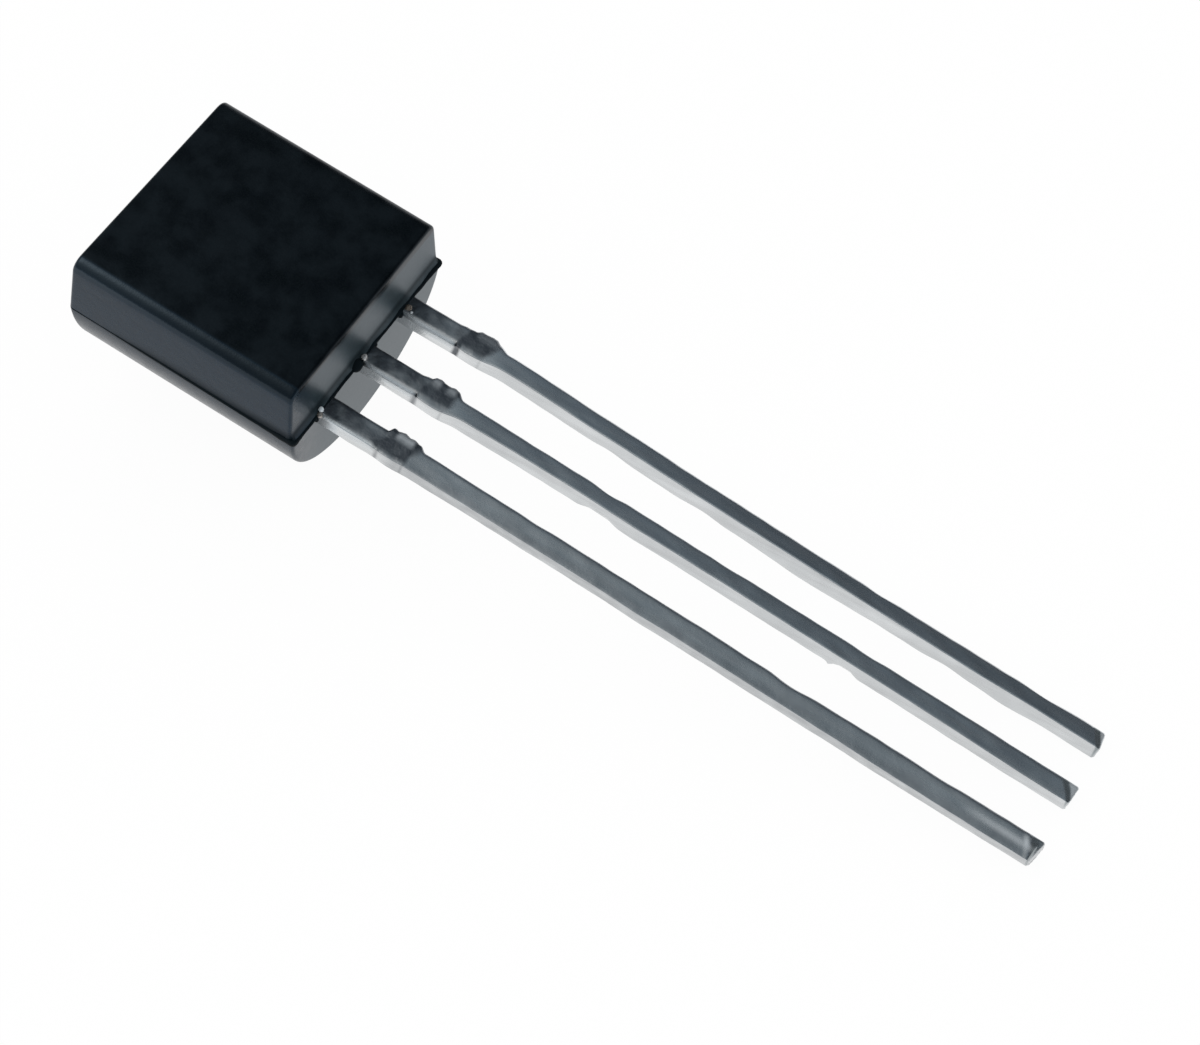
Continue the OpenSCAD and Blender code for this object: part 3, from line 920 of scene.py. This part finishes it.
def moulding_look():
    """Black filled epoxy: a clouded satin flat, smoother sides and a dull torn flash.

    It is glossier on the near long edge, most at the closed end, which paints its highlight, and
    at the lead end, most low down, where its colour is lighter too, which paints the floor's
    reflection; near the near corner the lead end fades to the sides' look as painted shade. On the
    far side the flat's dark, duller look reaches down the rounded edge as painted shade, and the
    flash's look paints shade on the case just above the parting plane. It is least glossy on the flash.
    """
    look = Look("moulding_compound", IOR=1.54, Specular_Tint=(0.6, 0.8, 1.0, 1.0))
    flat, arc, end, flash = [look.attribute(name) for name in ("flat", "arc", "end", "flash")]
    x, y, z = look.axes()
    # Towards the near corner the lead end fades to the sides' darker look: painted shade.
    end = look.math("MULTIPLY", end, look.remap(y, -2.3, -1.2, 0.0, 1.0))
    # Lower down, the lead end is painted lighter and glossier still: painted reflection of the floor.
    below = look.remap(z, 2.24, 2.36, 1.0, 0.0)
    cloud, patch = look.noise(2.2, 5.0), look.noise(6.0, 3.0)
    clouded = look.remap(cloud, 0.3, 0.7, 0.0, 1.0)
    mottle = look.remap(patch, 0.3, 0.7, 0.0, 1.0)
    grain = look.noise(34.0, 2.0)

    top = look.blend(clouded, (0.0004, 0.0009, 0.0013), (0.0015, 0.0025, 0.0029))
    sides = look.blend(mottle, (0.0030, 0.0110, 0.0220), (0.0050, 0.0150, 0.0280))
    # The lead end's colour, lighter than the sides', is a painted reflection of the floor.
    ends_painted_lighter = look.blend(mottle, (0.0250, 0.0390, 0.0460), (0.0300, 0.0450, 0.0520))
    ends_painted_lighter = look.blend(below, ends_painted_lighter, (0.0330, 0.0470, 0.0520))
    body = look.blend(look.math("MAXIMUM", flat, arc), look.blend(end, sides, ends_painted_lighter), top)
    body = look.blend(look.remap(grain, 0.35, 0.7, 0.0, 0.3), body, (0.0050, 0.0070, 0.0080))
    # The flash's colour also paints shade on the case just above the parting plane.
    look.colour(look.blend(flash, body, (0.0045, 0.0075, 0.0095)))

    # The lead end's higher specular level, more low down, paints the floor's reflection too.
    level = look.mix(end, 0.17, look.mix(below, 0.56, 0.62))
    level = look.mix(flat, level, look.mix(clouded, 0.13, 0.26))
    # Painted highlight: the near long edge's specular level falls from the closed end to the lead end.
    level = look.mix(arc, level, look.remap(x, -9.2, -4.8, 0.68, 0.38))
    look.join(look.mix(flash, level, 0.02), look.shader.inputs["Specular IOR Level"])

    rough = look.mix(end, look.mix(mottle, 0.22, 0.28), 0.4)
    rough = look.mix(flat, rough, look.mix(clouded, 0.27, 0.34))
    rough = look.mix(arc, rough, 0.17)
    look.roughness(look.mix(flash, rough, 0.5))
    look.bump((grain, 0.0014), (patch, 0.0025))
    return look.material


def tin_look():
    """Tin plate over a stamped lead: drawn streaks, cloudy tarnish and scars where it was cut.

    Where matt is high the tin is dull and light, with less metallic shine: mostly
    painted highlights, and on the stub's rim partly dull torn tin. wear darkens scars and
    paints shade, and rolled paints shade in the dent at the tip.
    """
    look = Look("tinned_lead")
    wear, rolled, stain, matt = [look.attribute(name) for name in ("wear", "rolled", "stain", "matt")]
    streak = look.noise(9.0, 4.0, stretch=(0.08, 1.0, 1.0))
    cloud = look.noise(1.3, 3.0, stretch=(0.5, 1.0, 1.0))
    grain = look.noise(30.0, 3.0)
    plate = look.blend(look.remap(cloud, 0.3, 0.7, 0.0, 1.0), (0.63, 0.65, 0.66), (0.73, 0.75, 0.76))
    plate = look.blend(look.remap(streak, 0.35, 0.7, 0.0, 0.35), plate, (0.54, 0.545, 0.55))
    # Dull, light tin: mostly painted highlights, partly dull torn tin on the stub's rim.
    plate = look.blend(matt, plate, (0.55, 0.62, 0.67))
    # Dark scars round the dam bar, and painted shade on the root, in the grooves and along each run.
    scarred_and_shaded = look.blend(wear, plate, (0.135, 0.145, 0.16))
    # Painted shade in the dent at the tip.
    scarred_and_shaded = look.blend(rolled, scarred_and_shaded, (0.27, 0.30, 0.31))
    look.colour(look.blend(stain, scarred_and_shaded, (0.20, 0.155, 0.115)))
    look.join(look.mix(matt, 1.0, 0.0), look.shader.inputs["Metallic"])
    smooth = look.remap(streak, 0.3, 0.7, 0.20, 0.29)
    look.roughness(look.mix(wear, smooth, 0.36))
    scar = look.math("MULTIPLY", look.noise(10.0, 3.0), wear)
    look.bump((streak, 0.002), (grain, 0.0010), (scar, 0.012))
    return look.material


def plain_look(name, dark, light, rough, metallic, scale, depth):
    """A clouded, finely grained surface for a piece inside the case."""
    look = Look(name, Metallic=metallic)
    cloud, grain = look.noise(scale, 4.0), look.noise(scale * 7, 2.0)
    look.colour(look.blend(look.remap(cloud, 0.3, 0.7, 0.0, 1.0), dark, light))
    look.roughness(look.remap(grain, 0.3, 0.7, rough * 0.8, rough * 1.2))
    look.bump((grain, depth))
    return look.material


# --- Pieces ---------------------------------------------------------------------------

def add_pieces():
    """The case and the three leads, each in place of its CAD node."""
    moulding, tin = moulding_look(), tin_look()
    case = Shell()
    add_case(case)
    add_flash(case)
    add_webs(case)
    piece = case.build("case_moulding", 32, [moulding])
    piece.modifiers.new("even_normals", "WEIGHTED_NORMAL").keep_sharp = True
    settle(piece, "case")
    for name, lead in LEADS.items():
        shell = Shell()
        add_lead(shell, lead)
        settle(shell.build(name + "_strip", 40, [tin]), name)


def settle(piece, node):
    """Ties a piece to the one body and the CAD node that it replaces."""
    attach(piece, "root")
    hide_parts(node)


def dress_cad_nodes():
    """Gives each CAD node that still shows its own material."""
    gold = plain_look("gold", (0.78, 0.55, 0.20), (0.90, 0.68, 0.30), 0.2, 1.0, 9.0, 0.0006)
    looks = {
        "die": plain_look("silicon", (0.16, 0.17, 0.21), (0.24, 0.25, 0.31), 0.12, 0.6, 7.0, 0.0003),
        "die_bond": plain_look("bond_alloy", (0.52, 0.52, 0.50), (0.68, 0.68, 0.66), 0.5, 1.0, 12.0, 0.002),
        "emitter_wire": gold,
        "base_wire": gold,
    }
    for node, material in looks.items():
        mesh = frame["nodes"][node].data
        mesh.materials.clear()
        mesh.materials.append(material)


# --- Studio ---------------------------------------------------------------------------

def add_floor():
    """A pale floor that reads white and keeps the object's shadow."""
    mesh = bpy.data.meshes.new("floor")
    corners = [(-1, -1), (1, -1), (1, 1), (-1, 1)]
    mesh.from_pydata([(x * FLOOR_HALF, y * FLOOR_HALF, 0.0) for x, y in corners], [], [(0, 1, 2, 3)])
    material = bpy.data.materials.new("floor")
    material.use_nodes = True
    nodes = Nodes(material.node_tree)
    nodes.tree.nodes.remove(nodes.tree.nodes["Principled BSDF"])
    paper = nodes.node("ShaderNodeBsdfDiffuse")
    paper.inputs["Color"].default_value = (0.9, 0.9, 0.9, 1.0)
    white = nodes.node("ShaderNodeEmission")
    blend = nodes.node("ShaderNodeMixShader")
    nodes.join(nodes.math("MULTIPLY", seen_directly(nodes), FLOOR_WHITE), blend.inputs[0])
    nodes.join(paper.outputs[0], blend.inputs[1])
    nodes.join(white.outputs[0], blend.inputs[2])
    nodes.join(blend.outputs[0], nodes.tree.nodes["Material Output"].inputs["Surface"])
    mesh.materials.append(material)
    floor = bpy.data.objects.new("floor", mesh)
    bpy.context.scene.collection.objects.link(floor)


def seen_directly(nodes):
    """1 for camera, glossy and transmission rays."""
    path = nodes.node("ShaderNodeLightPath").outputs
    gloss = nodes.math("MAXIMUM", path["Is Glossy Ray"], path["Is Transmission Ray"])
    return nodes.math("MAXIMUM", path["Is Camera Ray"], gloss)


def ramp(nodes, value, stops):
    """A colour read off a list of stops, each a position and a colour."""
    made = nodes.node("ShaderNodeValToRGB")
    elements = made.color_ramp.elements
    while len(elements) < len(stops):
        elements.new(0.5)
    for element, (position, colour) in zip(elements, stops):
        element.position = position
        element.color = (*colour, 1.0)
    nodes.join(value, made.inputs[0])
    return made.outputs[0]


def scaled(nodes, vector, factor):
    """A colour or vector times a number."""
    made = nodes.node("ShaderNodeVectorMath", operation="SCALE")
    nodes.join(vector, made.inputs[0])
    made.inputs["Scale"].default_value = factor
    return made.outputs[0]


def added(nodes, a, b):
    """The sum of two colours."""
    made = nodes.node("ShaderNodeVectorMath", operation="ADD")
    nodes.join(a, made.inputs[0])
    nodes.join(b, made.inputs[1])
    return made.outputs[0]


def overhead_light(nodes, direction):
    """A soft light, brightest where the direction is OVERHEAD_FROM."""
    towards = nodes.node("ShaderNodeVectorMath", operation="DOT_PRODUCT")
    nodes.join(direction, towards.inputs[0])
    towards.inputs[1].default_value = OVERHEAD_FROM
    return scaled(nodes, ramp(nodes, towards.outputs["Value"], OVERHEAD_STOPS), OVERHEAD_LEVEL)


def strip_light(nodes, direction):
    """A soft strip overhead, laid out on the direction's X and Y."""
    offset = nodes.node("ShaderNodeVectorMath", operation="MULTIPLY_ADD")
    nodes.join(direction, offset.inputs[0])
    offset.inputs[1].default_value = (1 / STRIP_HALF[0], 1 / STRIP_HALF[1], 0.0)
    offset.inputs[2].default_value = (-STRIP_AT[0] / STRIP_HALF[0], -STRIP_AT[1] / STRIP_HALF[1], 0.0)
    away = nodes.node("ShaderNodeVectorMath", operation="LENGTH")
    nodes.join(offset.outputs[0], away.inputs[0])
    return ramp(nodes, nodes.math("MULTIPLY", away.outputs["Value"], 1 / STRIP_REACH), STRIP_STOPS)


def add_world():
    """White to the camera. Gloss sees that white round the horizon too, and above it a dim studio."""
    world = bpy.data.worlds.new("studio")
    bpy.context.scene.world = world
    world.use_nodes = True
    nodes = Nodes(world.node_tree)
    direction = nodes.node("ShaderNodeTexCoord").outputs["Generated"]
    height = nodes.node("ShaderNodeSeparateXYZ")
    nodes.join(direction, height.inputs[0])
    room = ramp(nodes, height.outputs["Z"], ROOM_STOPS)
    lights = added(nodes, overhead_light(nodes, direction), strip_light(nodes, direction))
    studio = added(nodes, room, lights)

    path = nodes.node("ShaderNodeLightPath").outputs
    colour = nodes.blend(path["Is Glossy Ray"], (1.0, 1.0, 1.0), studio)
    straight = nodes.math("MAXIMUM", path["Is Camera Ray"], path["Is Transmission Ray"])
    colour = nodes.blend(straight, colour, (1.0, 1.0, 1.0))
    nodes.join(colour, nodes.tree.nodes["Background"].inputs["Color"])


def add_key():
    """One soft box, above and to the left of the camera. Gloss shows the world's lights instead."""
    lamp = bpy.data.lights.new("key", "AREA")
    lamp.shape = "SQUARE"
    lamp.size = KEY_SIZE
    lamp.energy = KEY_POWER
    key = bpy.data.objects.new("key", lamp)
    direction = KEY_FROM.normalized()
    key.location = CAMERA_AIM + direction * KEY_DISTANCE
    key.rotation_mode = "QUATERNION"
    key.rotation_quaternion = direction.to_track_quat("Z", "Y")
    key.visible_glossy = False
    bpy.context.scene.collection.objects.link(key)


def add_camera():
    """The photo's viewing angle, from high above the near side."""
    camera = bpy.data.objects.new("camera", bpy.data.cameras.new("camera"))
    camera.data.lens = CAMERA_LENS
    camera.data.clip_start = 0.001
    camera.data.clip_end = 10.0
    camera.location = CAMERA_AT
    camera.rotation_mode = "QUATERNION"
    towards = (CAMERA_AIM - CAMERA_AT).to_track_quat("-Z", "Y")
    camera.rotation_quaternion = towards @ Quaternion((0, 0, 1), CAMERA_ROLL)
    bpy.context.scene.collection.objects.link(camera)
    bpy.context.scene.camera = camera


add_pieces()
dress_cad_nodes()
add_floor()
add_world()
add_key()
add_camera()
bpy.context.scene.view_settings.view_transform = "Standard"
bpy.context.view_layer.update()
